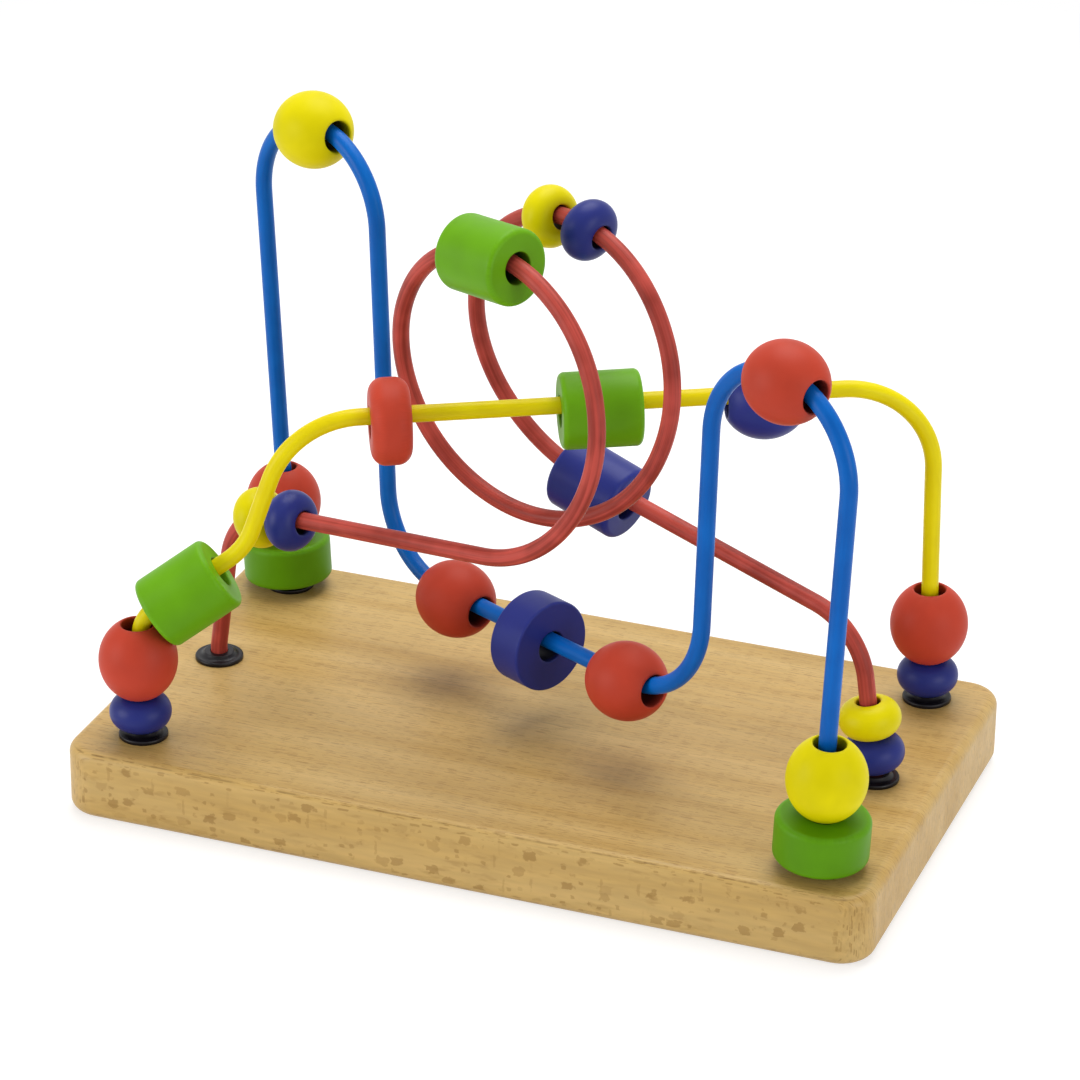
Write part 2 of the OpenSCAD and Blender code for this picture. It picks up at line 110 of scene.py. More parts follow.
# Beech, planed and lacquered: pale tan with broad bands along the length. Its rays are thin upright
# sheets, so the top shows them edge on as short dashes and the long sides show them face on as flecks
beech = {
    "pale": "#CDAC6C", "warm": "#BB9650", "fleck": "#80580E", "line": "#553408",
    # mm along, across and up; real fibres are far finer, and are drawn this coarse to show
    "band": (260, 15, 22), "fibre": (16, 0.55, 2.2), "streak": (9, 0.7, 2.4), "ragged": (2.3, 1.2, 1.9),
    "bandSpan": (0.34, 0.68), "fibreShade": (0.91, 1.06), "dashSpan": (0.58, 0.72), "dashDepth": 0.24,
    # flecks: mm of a cell, the share of cells that hold one, how far it fills its cell, how dark it is
    "flecks": [
        {"cell": (5.6, 0.38, 4.2), "share": 0.60, "reach": 0.38, "depth": 0.48},
        {"cell": (2.9, 0.34, 2.4), "share": 0.30, "reach": 0.38, "depth": 0.40},
        {"cell": (1.5, 0.80, 7.5), "share": 0.13, "reach": 0.34, "depth": 0.22},
    ],
    "raggedPull": (0.8, 0.5, 0.8),  # how far a fleck's sides wander, in cells
    "blunt": 5.0,  # higher makes squarer flecks
    # in cells: how much flecks differ in width and how soft their sides are; then the share that is darkest
    "widthSpread": 0.16, "softIn": 0.07, "softOut": 0.05, "fullShare": 0.4,
    # the dark line: mm, and mm from the board's middle to where it starts and is full
    "lineHeight": 22.3, "lineWidth": 0.3, "lineLength": 6.0, "lineFrom": 70.0, "lineFull": 73.0,
    "lineDepth": 0.55, "lineBreaks": (0.42, 0.58),
    "roughness": 0.42, "smoother": 0.05, "rougher": 0.06, "specular": 0.38, "ior": 1.5,
    "relief": 0.12, "reliefDepth": 0.06,  # share, mm
}


def beechMaterial(b):
    material, t = newMaterial("lacqueredBeech")
    place = addNode(t, "ShaderNodeTexCoord", {}).outputs["Object"]

    def stretched(size):
        scale = [1000 / s for s in size]
        return addNode(t, "ShaderNodeMapping", {"Vector": place, "Scale": scale}).outputs[0]

    # A fleck is a blunt block round a point of its cell, with ragged sides; cells past the share hold none
    ragged = addNode(t, "ShaderNodeTexNoise",
                     {"Vector": stretched(b["ragged"]), "Scale": 1.0, "Detail": 3.0})
    mask = None
    for f in b["flecks"]:
        bent = addNode(t, "ShaderNodeVectorMath",
                       {0: ragged.outputs["Color"], 1: b["raggedPull"], 2: stretched(f["cell"])},
                       operation="MULTIPLY_ADD")
        cell = addNode(t, "ShaderNodeTexVoronoi",
                       {"Vector": bent.outputs[0], "Scale": 1.0, "Exponent": b["blunt"]},
                       distance="MINKOWSKI")
        chance = addNode(t, "ShaderNodeSeparateColor", {0: cell.outputs["Color"]})
        wide = addNode(t, "ShaderNodeMath",
                       {0: chance.outputs[1], 1: b["widthSpread"], 2: cell.outputs["Distance"]},
                       operation="MULTIPLY_ADD")
        shape = addNode(t, "ShaderNodeMapRange",
                        {0: wide.outputs[0], 1: f["reach"] - b["softIn"], 2: f["reach"] + b["softOut"],
                         3: 1.0, 4: 0.0}, interpolation_type="SMOOTHSTEP")
        depth = addNode(t, "ShaderNodeMapRange",
                        {0: chance.outputs[0], 1: b["fullShare"] * f["share"], 2: f["share"],
                         3: f["depth"], 4: 0.0})
        one = addNode(t, "ShaderNodeMath", {0: shape.outputs[0], 1: depth.outputs[0]}, operation="MULTIPLY")
        if mask is not None:
            one = addNode(t, "ShaderNodeMath", {0: mask.outputs[0], 1: one.outputs[0]}, operation="MAXIMUM")
        mask = one

    # Bands of two tones, shaded by fibres, then dashes and flecks in the fleck's brown
    band = addNode(t, "ShaderNodeTexNoise", {"Vector": stretched(b["band"]), "Scale": 1.0, "Detail": 3.0})
    fibre = addNode(t, "ShaderNodeTexNoise", {"Vector": stretched(b["fibre"]), "Scale": 1.0, "Detail": 2.0})
    streak = addNode(t, "ShaderNodeTexNoise",
                     {"Vector": stretched(b["streak"]), "Scale": 1.0, "Detail": 3.0})
    tone = addNode(t, "ShaderNodeMapRange", {0: band.outputs[0], 1: b["bandSpan"][0], 2: b["bandSpan"][1]})
    wood = addNode(t, "ShaderNodeMix",
                   {0: tone.outputs[0], 6: hexColour(b["pale"]), 7: hexColour(b["warm"])}, data_type="RGBA")
    thin = addNode(t, "ShaderNodeMapRange",
                   {0: fibre.outputs[0], 1: noiseLow, 2: noiseHigh, 3: b["fibreShade"][0],
                    4: b["fibreShade"][1]})
    wood = addNode(t, "ShaderNodeMix", {0: 1.0, 6: wood.outputs[2], 7: thin.outputs[0]},
                   data_type="RGBA", blend_type="MULTIPLY")
    dash = addNode(t, "ShaderNodeMapRange",
                   {0: streak.outputs[0], 1: b["dashSpan"][0], 2: b["dashSpan"][1], 3: 0.0,
                    4: b["dashDepth"]})
    for share in (dash, mask):
        wood = addNode(t, "ShaderNodeMix",
                       {0: share.outputs[0], 6: wood.outputs[2], 7: hexColour(b["fleck"])},
                       data_type="RGBA")

    # A broken dark line where the rounded-over edge of a long side starts
    spot = addNode(t, "ShaderNodeSeparateXYZ", {0: place})
    off = addNode(t, "ShaderNodeMath", {0: spot.outputs[2], 1: b["lineHeight"] * mm}, operation="SUBTRACT")
    off = addNode(t, "ShaderNodeMath", {0: off.outputs[0]}, operation="ABSOLUTE")
    line = addNode(t, "ShaderNodeMapRange",
                   {0: off.outputs[0], 1: 0.0, 2: b["lineWidth"] * mm, 3: b["lineDepth"], 4: 0.0})
    broken = addNode(t, "ShaderNodeTexNoise",
                     {"Vector": stretched((b["lineLength"],) * 3), "Scale": 1.0, "Detail": 3.0})
    shown = addNode(t, "ShaderNodeMapRange",
                    {0: broken.outputs[0], 1: b["lineBreaks"][0], 2: b["lineBreaks"][1]})
    aside = addNode(t, "ShaderNodeMath", {0: spot.outputs[1]}, operation="ABSOLUTE")
    longSide = addNode(t, "ShaderNodeMapRange",
                       {0: aside.outputs[0], 1: b["lineFrom"] * mm, 2: b["lineFull"] * mm})
    for part in (shown, longSide):
        line = addNode(t, "ShaderNodeMath", {0: line.outputs[0], 1: part.outputs[0]}, operation="MULTIPLY")
    wood = addNode(t, "ShaderNodeMix",
                   {0: line.outputs[0], 6: wood.outputs[2], 7: hexColour(b["line"])}, data_type="RGBA")

    rough = addNode(t, "ShaderNodeMapRange",
                    {0: fibre.outputs[0], 1: noiseLow, 2: noiseHigh, 3: b["roughness"] - b["smoother"],
                     4: b["roughness"] + b["rougher"]})
    relief = addNode(t, "ShaderNodeMath", {0: fibre.outputs[0], 1: mask.outputs[0]}, operation="SUBTRACT")
    bump = addNode(t, "ShaderNodeBump", {"Height": relief.outputs[0], "Strength": b["relief"],
                                         "Distance": b["reliefDepth"] * mm})
    surface = addNode(t, "ShaderNodeBsdfPrincipled",
                      {"Base Color": wood.outputs[2], "Roughness": rough.outputs[0], "IOR": b["ior"],
                       "Specular IOR Level": b["specular"], "Normal": bump.outputs[0]})
    addNode(t, "ShaderNodeOutputMaterial", {"Surface": surface.outputs[0]})
    return material


# Water-based enamel sprayed on turned beech: satin and even, with a faint orange peel. The rims get a
# painted highlight, a paler copy of the paint, and the bore a dark colour for thin paint and painted shade,
# darker deeper in the hole. The attribute bore is 1 inside the hole, and rim is 1 on rounded edges
enamel = {
    "red": {"slot": "red_paint", "colour": "#BA402C", "deep": "#561A12", "roughness": 0.46,
            "specular": 0.14},
    "yellow": {"slot": "yellow_paint", "colour": "#DED000", "deep": "#645A04", "roughness": 0.46,
               "specular": 0.10},
    "yellowGloss": {"slot": "yellow_paint", "colour": "#DED000", "deep": "#645A04", "roughness": 0.38,
                    "specular": 0.12},
    "green": {"slot": "green_paint", "colour": "#64A00A", "deep": "#2A4808", "roughness": 0.42,
              "specular": 0.16},
    # the two low discs: a darker copy of the same green, painted shade
    "greenDeep": {"slot": "green_paint", "colour": "#589006", "deep": "#2A4808", "roughness": 0.42,
                  "specular": 0.14},
    "navy": {"slot": "navy_paint", "colour": "#273080", "deep": "#101228", "roughness": 0.40,
             "specular": 0.20},
    "navyGloss": {"slot": "navy_paint", "colour": "#232C76", "deep": "#101228", "roughness": 0.38,
                  "specular": 0.20},
}
peel = {
    "cloud": 11.0, "pit": 1.1, "grainAcross": 0.7, "grainAlong": 9.0,  # mm; grain is drawn coarse to show
    "thin": 0.94, "thick": 1.05,  # how the coat's depth shades its colour
    # painted highlight on the rims: where the grain puts it, how much, and how much paler the paint gets
    "rimHighlightSpan": (0.35, 0.75), "rimHighlightShare": (0.04, 0.22), "rimHighlightGain": 1.6,
    "smoother": 0.03, "rougher": 0.05, "ior": 1.48,
    "grainRelief": 0.6, "relief": 0.10, "reliefDepth": 0.05,  # shares, mm
}


def enamelMaterial(name, e):
    material, t = newMaterial(name + "Enamel")
    coords = addNode(t, "ShaderNodeTexCoord", {})
    cloud = addNode(t, "ShaderNodeTexNoise",
                    {"Vector": coords.outputs["Object"], "Scale": 1000 / peel["cloud"], "Detail": 2.0})
    pits = addNode(t, "ShaderNodeTexNoise",
                   {"Vector": coords.outputs["Object"], "Scale": 1000 / peel["pit"], "Detail": 1.0})
    turned = addNode(t, "ShaderNodeMapping",
                     {"Vector": coords.outputs["UV"],
                      "Scale": (1000 / peel["grainAcross"], 1000 / peel["grainAlong"], 1.0)})
    grain = addNode(t, "ShaderNodeTexNoise", {"Vector": turned.outputs[0], "Scale": 1.0, "Detail": 2.0})
    bore = addNode(t, "ShaderNodeAttribute", {}, attribute_name="bore")
    rim = addNode(t, "ShaderNodeAttribute", {}, attribute_name="rim")

    shade = addNode(t, "ShaderNodeMapRange", {0: cloud.outputs[0], 1: noiseLow, 2: noiseHigh})
    coat = addNode(t, "ShaderNodeMix",
                   {0: shade.outputs[0], 6: hexColour(e["colour"], peel["thin"]),
                    7: hexColour(e["colour"], peel["thick"])}, data_type="RGBA")
    # Painted highlight: the rounded rims are mixed in patches towards a paler copy of the paint
    rimHighlight = addNode(t, "ShaderNodeMapRange",
                   {0: grain.outputs[0], 1: peel["rimHighlightSpan"][0], 2: peel["rimHighlightSpan"][1],
                    3: peel["rimHighlightShare"][0], 4: peel["rimHighlightShare"][1]})
    rimHighlight = addNode(t, "ShaderNodeMath", {0: rimHighlight.outputs[0], 1: rim.outputs["Fac"]}, operation="MULTIPLY")
    coat = addNode(t, "ShaderNodeMix",
                   {0: rimHighlight.outputs[0], 6: coat.outputs[2], 7: hexColour(e["colour"], peel["rimHighlightGain"])},
                   data_type="RGBA")
    # Painted shade with thin paint: the bore is mixed towards a dark colour, most in the middle of the hole
    coat = addNode(t, "ShaderNodeMix",
                   {0: bore.outputs["Fac"], 6: coat.outputs[2], 7: hexColour(e["deep"])}, data_type="RGBA")
    rough = addNode(t, "ShaderNodeMapRange",
                    {0: cloud.outputs[0], 1: noiseLow, 2: noiseHigh, 3: e["roughness"] - peel["smoother"],
                     4: e["roughness"] + peel["rougher"]})
    relief = addNode(t, "ShaderNodeMath", {0: grain.outputs[0], 1: peel["grainRelief"], 2: pits.outputs[0]},
                     operation="MULTIPLY_ADD")
    bump = addNode(t, "ShaderNodeBump", {"Height": relief.outputs[0], "Strength": peel["relief"],
                                         "Distance": peel["reliefDepth"] * mm})
    surface = addNode(t, "ShaderNodeBsdfPrincipled",
                      {"Base Color": coat.outputs[2], "Roughness": rough.outputs[0], "IOR": peel["ior"],
                       "Specular IOR Level": e["specular"], "Normal": bump.outputs[0]})
    addNode(t, "ShaderNodeOutputMaterial", {"Surface": surface.outputs[0]})
    return material


# Soft vinyl drawn over steel rod: glossy, with faint lines along the wire that draw its highlights into
# streaks. Real lines are finer, and across gives their drawn spacing in mm
vinyl = {
    "blue": {"colour": "#0066C0", "dark": "#005AB0", "roughness": 0.34, "line": 0.03, "across": 2.4},
    "yellow": {"colour": "#EBDA00", "dark": "#DFCB00", "roughness": 0.36, "line": 0.03, "across": 2.4},
    "red": {"colour": "#C24F44", "dark": "#95382E", "roughness": 0.40, "line": 0.12, "across": 1.1},
}
drawn = {
    "along": 70.0, "cloud": 14.0, "lineDepth": 0.12,  # mm
    "shadeSpan": (0.8, 1.2), "smoother": 0.05, "rougher": 0.07, "specular": 0.14, "ior": 1.52,
}


def vinylMaterial(name, v):
    material, t = newMaterial(name + "Vinyl")
    coords = addNode(t, "ShaderNodeTexCoord", {})
    pulled = addNode(t, "ShaderNodeMapping",
                     {"Vector": coords.outputs["UV"],
                      "Scale": (1000 / v["across"], 1000 / drawn["along"], 1.0)})
    lines = addNode(t, "ShaderNodeTexNoise", {"Vector": pulled.outputs[0], "Scale": 1.0, "Detail": 2.0})
    cloud = addNode(t, "ShaderNodeTexNoise",
                    {"Vector": coords.outputs["Object"], "Scale": 1000 / drawn["cloud"], "Detail": 2.0})
    mixed = addNode(t, "ShaderNodeMath", {0: lines.outputs[0], 1: cloud.outputs[0]}, operation="ADD")
    shade = addNode(t, "ShaderNodeMapRange",
                    {0: mixed.outputs[0], 1: drawn["shadeSpan"][0], 2: drawn["shadeSpan"][1]})
    coat = addNode(t, "ShaderNodeMix",
                   {0: shade.outputs[0], 6: hexColour(v["dark"]), 7: hexColour(v["colour"])},
                   data_type="RGBA")
    rough = addNode(t, "ShaderNodeMapRange",
                    {0: lines.outputs[0], 1: noiseLow, 2: noiseHigh, 3: v["roughness"] - drawn["smoother"],
                     4: v["roughness"] + drawn["rougher"]})
    bump = addNode(t, "ShaderNodeBump", {"Height": lines.outputs[0], "Strength": v["line"],
                                         "Distance": drawn["lineDepth"] * mm})
    surface = addNode(t, "ShaderNodeBsdfPrincipled",
                      {"Base Color": coat.outputs[2], "Roughness": rough.outputs[0], "IOR": drawn["ior"],
                       "Specular IOR Level": drawn["specular"], "Normal": bump.outputs[0]})
    addNode(t, "ShaderNodeOutputMaterial", {"Surface": surface.outputs[0]})
    return material


# Black nylon, injection moulded: near black with a soft gloss and a fine spark-eroded grain, which is
# drawn many times coarser than real to show
nylon = {
    "colour": "#0B090C", "pale": "#161318", "roughness": 0.33, "smoother": 0.05, "rougher": 0.08,
    "grit": 0.9, "flow": 6.0,  # mm
    "flowSpan": (0.35, 0.7), "specular": 0.22, "ior": 1.53, "relief": 0.10, "reliefDepth": 0.04,
}


def nylonMaterial(n):
    material, t = newMaterial("blackNylon")
    coords = addNode(t, "ShaderNodeTexCoord", {})
    grit = addNode(t, "ShaderNodeTexNoise",
                   {"Vector": coords.outputs["Object"], "Scale": 1000 / n["grit"], "Detail": 2.0})
    flow = addNode(t, "ShaderNodeTexNoise",
                   {"Vector": coords.outputs["Object"], "Scale": 1000 / n["flow"], "Detail": 2.0})
    shade = addNode(t, "ShaderNodeMapRange", {0: flow.outputs[0], 1: n["flowSpan"][0], 2: n["flowSpan"][1]})
    resin = addNode(t, "ShaderNodeMix",
                    {0: shade.outputs[0], 6: hexColour(n["colour"]), 7: hexColour(n["pale"])},
                    data_type="RGBA")
    rough = addNode(t, "ShaderNodeMapRange",
                    {0: flow.outputs[0], 1: noiseLow, 2: noiseHigh, 3: n["roughness"] - n["smoother"],
                     4: n["roughness"] + n["rougher"]})
    bump = addNode(t, "ShaderNodeBump", {"Height": grit.outputs[0], "Strength": n["relief"],
                                         "Distance": n["reliefDepth"] * mm})
    surface = addNode(t, "ShaderNodeBsdfPrincipled",
                      {"Base Color": resin.outputs[2], "Roughness": rough.outputs[0], "IOR": n["ior"],
                       "Specular IOR Level": n["specular"], "Normal": bump.outputs[0]})
    addNode(t, "ShaderNodeOutputMaterial", {"Surface": surface.outputs[0]})
    return material


beechFinish = beechMaterial(beech)
enamelFinish = {name: enamelMaterial(name, e) for name, e in enamel.items()}
vinylFinish = {name: vinylMaterial(name, v) for name, v in vinyl.items()}
nylonFinish = nylonMaterial(nylon)
print("materials made")


# Mesh from a grid of points in mm: rows run along the piece, columns round it. Each face joins four
# neighbours, and the last column joins the first. A ring joins its last row to its first, and an open
# piece gets a cap at each end. The UV map is in metres, round the columns and along the rows
def gridPiece(name, grid, along, around, ring, tags):
    rows, cols = grid.shape[:2]
    r = np.arange(rows if ring else rows - 1)[:, None]
    c = np.arange(cols)[None, :]
    r1, c1 = (r + 1) % rows, (c + 1) % cols
    quads = np.stack([r * cols + c, r * cols + c1, r1 * cols + c1, r1 * cols + c], -1).reshape(-1, 4)
    u, v = np.broadcast_arrays(np.arange(cols + 1)[None, :] / cols * around, np.asarray(along)[:, None])
    lower, upper = np.stack([u, v], -1)[:-1], np.stack([u, v], -1)[1:]
    uv = np.stack([lower[:, :-1], lower[:, 1:], upper[:, 1:], upper[:, :-1]], -2).reshape(-1, 2)
    points, faces = grid.reshape(-1, 3), quads.tolist()
    if not ring:
        first, last = rows * cols, rows * cols + 1
        points = np.concatenate([points, grid[:1].mean(1), grid[-1:].mean(1)])
        k = np.arange(cols)
        k1 = (k + 1) % cols
        top = (rows - 1) * cols
        caps = np.concatenate([np.stack([k1, k, np.full(cols, first)], 1),
                               np.stack([top + k, top + k1, np.full(cols, last)], 1)])
        faces += caps.tolist()
        uv = np.concatenate([uv, np.zeros((caps.size, 2))])
    mesh = bpy.data.meshes.new(name)
    mesh.from_pydata((points * mm).tolist(), [], faces)
    mesh.uv_layers.new(name="surface").data.foreach_set("uv", (uv * mm).astype(np.float32).ravel())
    for tag, values in tags.items():
        spread = np.repeat(values, cols)
        mesh.attributes.new(tag, "FLOAT", "POINT").data.foreach_set("value", spread.astype(np.float32))
    mesh.shade_smooth()
    mesh.update()
    piece = bpy.data.objects.new(name, mesh)
    scene.collection.objects.link(piece)
    return piece


# Gives a piece its finish, hides the CAD node it stands for, and hangs it on the body it rides on
def dress(piece, node, body, material):
    piece.data.materials.append(material)
    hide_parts(node)
    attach(piece, body)


# A node's name in camel case, for its piece
def camelName(node):
    first, *others = node.split("_")
    return first + "".join(word.capitalize() for word in others)


# Distance from the first point to each point of a line
def travelled(points):
    return np.concatenate([[0], np.cumsum(np.linalg.norm(np.diff(points, axis=0), axis=1))])


# Angles of a whole turn, shaped to go with rows and points
def wholeTurn(count):
    return np.linspace(0, 2 * math.pi, count, endpoint=False)[None, :, None]


up = np.array([0.0, 0.0, 1.0])
nearUpright = 0.9  # cosine of the angle to up


def unit(v):
    return v / np.linalg.norm(v)


# A direction square to v, crossed with up, or with x where v is nearly upright
def squareTo(v):
    return unit(np.cross(v, up if abs(v @ up) < nearUpright else [1.0, 0.0, 0.0]))


# Where the wires stand, in mm: bush places, the board's top, and heights at a wire's end
base = {
    "bushX": 111.0, "bushY": 57.5, "boardTop": 23.0, "seat": 25.6, "foot": 27.6, "wireEnd": 10.0,
    "collar": 10.0, "restGap": 0.3, "beadPlay": 4.6, "ovalPlay": 2.2, "archSlack": 0.2,
}
span = math.hypot(base["bushX"], base["bushY"])
endHeight = base["wireEnd"] - base["boardTop"]
footHeight = base["foot"] - base["boardTop"]


# A point in the upright plane through two corner bushes: s along it from the board's middle, h above its
# top
def bluePoint(s, h):
    return [s * base["bushX"] / span, -s * base["bushY"] / span, base["boardTop"] + h]


def yellowPoint(s, h):
    return [s * base["bushX"] / span, s * base["bushY"] / span, base["boardTop"] + h]


# A route is a wire's corners, each with the radius of its bend
def makeRoute(corners):
    points, radii = zip(*corners)
    return {"corners": np.array(points, float), "radii": np.array(radii, float)}


# One bend: it starts a setback before its corner, which is the radius times the tangent of half the
# turn, and its centre lies a radius inwards from there
def bendAt(route, i):
    p, radius = route["corners"], route["radii"][i]
    before, after = unit(p[i] - p[i - 1]), unit(p[i + 1] - p[i])
    turn = math.acos(np.clip(before @ after, -1, 1))
    setback = radius * math.tan(turn / 2)
    axis = unit(np.cross(before, after))
    inward = np.cross(axis, before)
    start = p[i] - setback * before
    return {"before": before, "turn": turn, "setback": setback, "axis": axis, "inward": inward,
            "radius": radius, "start": start, "centre": start + radius * inward}


def runDirection(route, i):
    return unit(route["corners"][i + 1] - route["corners"][i])


def runLength(route, i):
    return np.linalg.norm(route["corners"][i + 1] - route["corners"][i])


# Corners of the routes below that beads are placed from, counted from a wire's left end
corner = {"tall": 2, "dip": 4, "low": 7, "slope": 1, "top": 3, "shoulder": 2}

# The blue wire in mm: a tall arch at the back left, a dip, and a low arch at the front right
blue = {
    "tallHeight": 168.6, "tallWidth": 58.0, "tallLean": 12.6, "tallBack": 7.2, "tallBend": 28.2,
    "dipLeft": 27.5, "dipRight": 30.0, "dipLeftBend": 27.0, "dipRightBend": 31.5,
    "lowHeight": 152.2, "lowWidth": 57.6, "lowLean": 7.8, "lowBack": 3.3, "lowBend": 28.0, "footBend": 25.0,
}
tallOut = -span - blue["tallLean"]
tallIn = tallOut + blue["tallWidth"]
lowOut = span + blue["lowLean"]
lowIn = lowOut - blue["lowWidth"]
dipStart, dipEnd = tallIn + blue["tallBack"], lowIn - blue["lowBack"]
blueRoute = makeRoute([
    (bluePoint(-span, endHeight), 0),
    (bluePoint(-span, footHeight), blue["footBend"]),
    (bluePoint(tallOut, blue["tallHeight"]), blue["tallBend"]),
    (bluePoint(tallIn, blue["tallHeight"]), blue["tallBend"]),
    (bluePoint(dipStart, blue["dipLeft"]), blue["dipLeftBend"]),
    (bluePoint(dipEnd, blue["dipRight"]), blue["dipRightBend"]),
    (bluePoint(lowIn, blue["lowHeight"]), blue["lowBend"]),
    (bluePoint(lowOut, blue["lowHeight"]), blue["lowBend"]),
    (bluePoint(span, footHeight), blue["footBend"]),
    (bluePoint(span, endHeight), 0),
])

# The yellow wire in mm: an upright, a slope and a climb at the front left, and a long run to the back right
yellow = {
    "slopeHeight": 40.8, "slopeRun": 33.2, "slopeRise": 22.7, "climbRun": 14.8, "climbRise": 42.4,
    "topRise": 4.1, "rightLean": 2.2, "slopeBend": 11.0, "climbBend": 20.0, "crestBend": 30.0,
    "turnBend": 29.0, "footBend": 100.0,
}
climbStart = -span + yellow["slopeRun"]
topStart, topEnd = climbStart + yellow["climbRun"], span - yellow["rightLean"]
climbHeight = yellow["slopeHeight"] + yellow["slopeRise"]
topHeight = climbHeight + yellow["climbRise"]
yellowRoute = makeRoute([
    (yellowPoint(-span, endHeight), 0),
    (yellowPoint(-span, yellow["slopeHeight"]), yellow["slopeBend"]),
    (yellowPoint(climbStart, climbHeight), yellow["climbBend"]),
    (yellowPoint(topStart, topHeight), yellow["crestBend"]),
    (yellowPoint(topEnd, topHeight + yellow["topRise"]), yellow["turnBend"]),
    (yellowPoint(span, footHeight), yellow["footBend"]),
    (yellowPoint(span, endHeight), 0),
])

# The red wire in mm, degrees and turns. Its loops are a helix of short bends, whose corners lie outside
# it so that the bends keep its radius
red = {
    "loopRadius": 46.2, "loopHeight": 116.5, "pitch": 36.0, "rise": 0.9, "axis": 71.0, "shift": -2.5,
    "start": -81.0, "end": 624.0, "bends": 15, "middleTurn": 0.75, "straight": 0.8,
    "leftTurn": 55.0, "leftLean": 6.5, "rightTurn": 51.0, "rightLean": 6.5, "shoulderBend": 23.5,
    "footBend": 14.0,
}
loopAxis = math.radians(red["axis"])
loopAcross = np.array([math.sin(loopAxis), -math.cos(loopAxis), 0.0])
loopAlong = np.array([math.cos(loopAxis), math.sin(loopAxis), 0.0])
loopStep = (red["end"] - red["start"]) / red["bends"]
firstLoop, lastLoop = corner["shoulder"] + 1, corner["shoulder"] + red["bends"]


# A point of the helix: it moves along the axis by the pitch each turn, and round it at the radius
def loopPoint(angle, radius):
    middle = np.array([red["shift"], 0.0, base["boardTop"] + red["loopHeight"]])
    travel = (red["pitch"] * loopAlong + red["rise"] * up) * (angle / 360 - red["middleTurn"])
    a = math.radians(angle)
    return middle + travel + radius * (math.cos(a) * loopAcross + math.sin(a) * up)


def redFoot(side, lean, height):
    return [side * (base["bushX"] - lean), 0.0, height]


outerRadius = red["loopRadius"] / math.cos(math.radians(loopStep / 2))
loopCorners = [loopPoint(red["start"] + loopStep * (k + 0.5), outerRadius) for k in range(red["bends"])]
redRoute = makeRoute(
    [(redFoot(-1, 0, base["wireEnd"]), 0), (redFoot(-1, 0, base["foot"]), red["footBend"]),
     (redFoot(-1, red["leftLean"], base["boardTop"] + red["leftTurn"]), red["shoulderBend"])]
    + [(p, 0) for p in loopCorners]
    + [(redFoot(1, red["rightLean"], base["boardTop"] + red["rightTurn"]), red["shoulderBend"]),
       (redFoot(1, 0, base["foot"]), red["footBend"]), (redFoot(1, 0, base["wireEnd"]), 0)])
# A loop's bend takes up the side between two corners but for a short straight
loopSide = runLength(redRoute, firstLoop)
for i in range(firstLoop, lastLoop + 1):
    redRoute["radii"][i] = (loopSide - red["straight"]) / 2 / math.tan(bendAt(redRoute, i)["turn"] / 2)

# Sizes and steps in mm; fewestSteps is for the shortest bends
wire = {"diameter": 5.4, "columns": 40, "straightStep": 3.0, "bendStep": 0.9, "fewestSteps": 3}


# Centreline of a route and a sideways direction that goes along without twist: a straight keeps it, and
# a bend turns it about the bend's axis. A bend's point at angle a is
# centre + radius (sin a before - cos a inward)
def followRoute(route):
    p = route["corners"]
    side = squareTo(unit(p[1] - p[0]))
    points, ways, sides = [p[:1]], [unit(p[1] - p[0])[None]], [side[None]]

    def straightTo(target):
        gap = target - points[-1][-1]
        count = max(1, round(np.linalg.norm(gap) / wire["straightStep"]))
        share = np.linspace(0, 1, count + 1)[1:, None]
        points.append(points[-1][-1] + share * gap)
        ways.append(np.repeat(unit(gap)[None], count, 0))
        sides.append(np.repeat(sides[-1][-1:], count, 0))

    for i in range(1, len(p) - 1):
        b = bendAt(route, i)
        straightTo(b["start"])
        s = sides[-1][-1]
        count = max(wire["fewestSteps"], math.ceil(b["radius"] * b["turn"] / wire["bendStep"]))
        a = np.linspace(0, b["turn"], count + 1)[1:, None]
        points.append(b["centre"] + b["radius"] * (np.sin(a) * b["before"] - np.cos(a) * b["inward"]))
        ways.append(np.cos(a) * b["before"] + np.sin(a) * b["inward"])
        sides.append(np.cos(a) * s + np.sin(a) * np.cross(b["axis"], s)
                     + (1 - np.cos(a)) * (b["axis"] @ s) * b["axis"])
    straightTo(p[-1])
    return np.concatenate(points), np.concatenate(ways), np.concatenate(sides)


# A wire is a circle carried along its centreline: point = centre + radius (cos a side + sin a (way x side))
def makeWire(name, route):
    points, ways, sides = followRoute(route)
    a = wholeTurn(wire["columns"])
    lifts = np.cross(ways, sides)
    ring = np.cos(a) * sides[:, None] + np.sin(a) * lifts[:, None]
    grid = points[:, None] + wire["diameter"] / 2 * ring
    return gridPiece(name, grid, travelled(points), math.pi * wire["diameter"], False, {})


for colour, route in (("blue", blueRoute), ("yellow", yellowRoute), ("red", redRoute)):
    piece = makeWire(colour + "Wire", route)
    dress(piece, colour + "_wire", "stand", vinylFinish[colour])
print("wires made")


# Arc of a profile from angle a to b in degrees, about a centre given as radius and height
def arc(centre, radius, a, b, count):
    t = np.radians(np.linspace(a, b, count + 1))
    return np.stack([centre[0] + radius * np.cos(t), centre[1] + radius * np.sin(t)], 1)


# How finely a bead is turned: counts, the support in mm, and shares for the bore and rim tags
turning = {
    "columns": 96, "sideRows": 40, "edgeRows": 10, "lipRows": 6, "boreRows": 12, "support": 0.25,
    "boreBlend": 0.7, "boreFade": 0.3, "boreMouth": 0.35, "rimGain": 2.2,
}


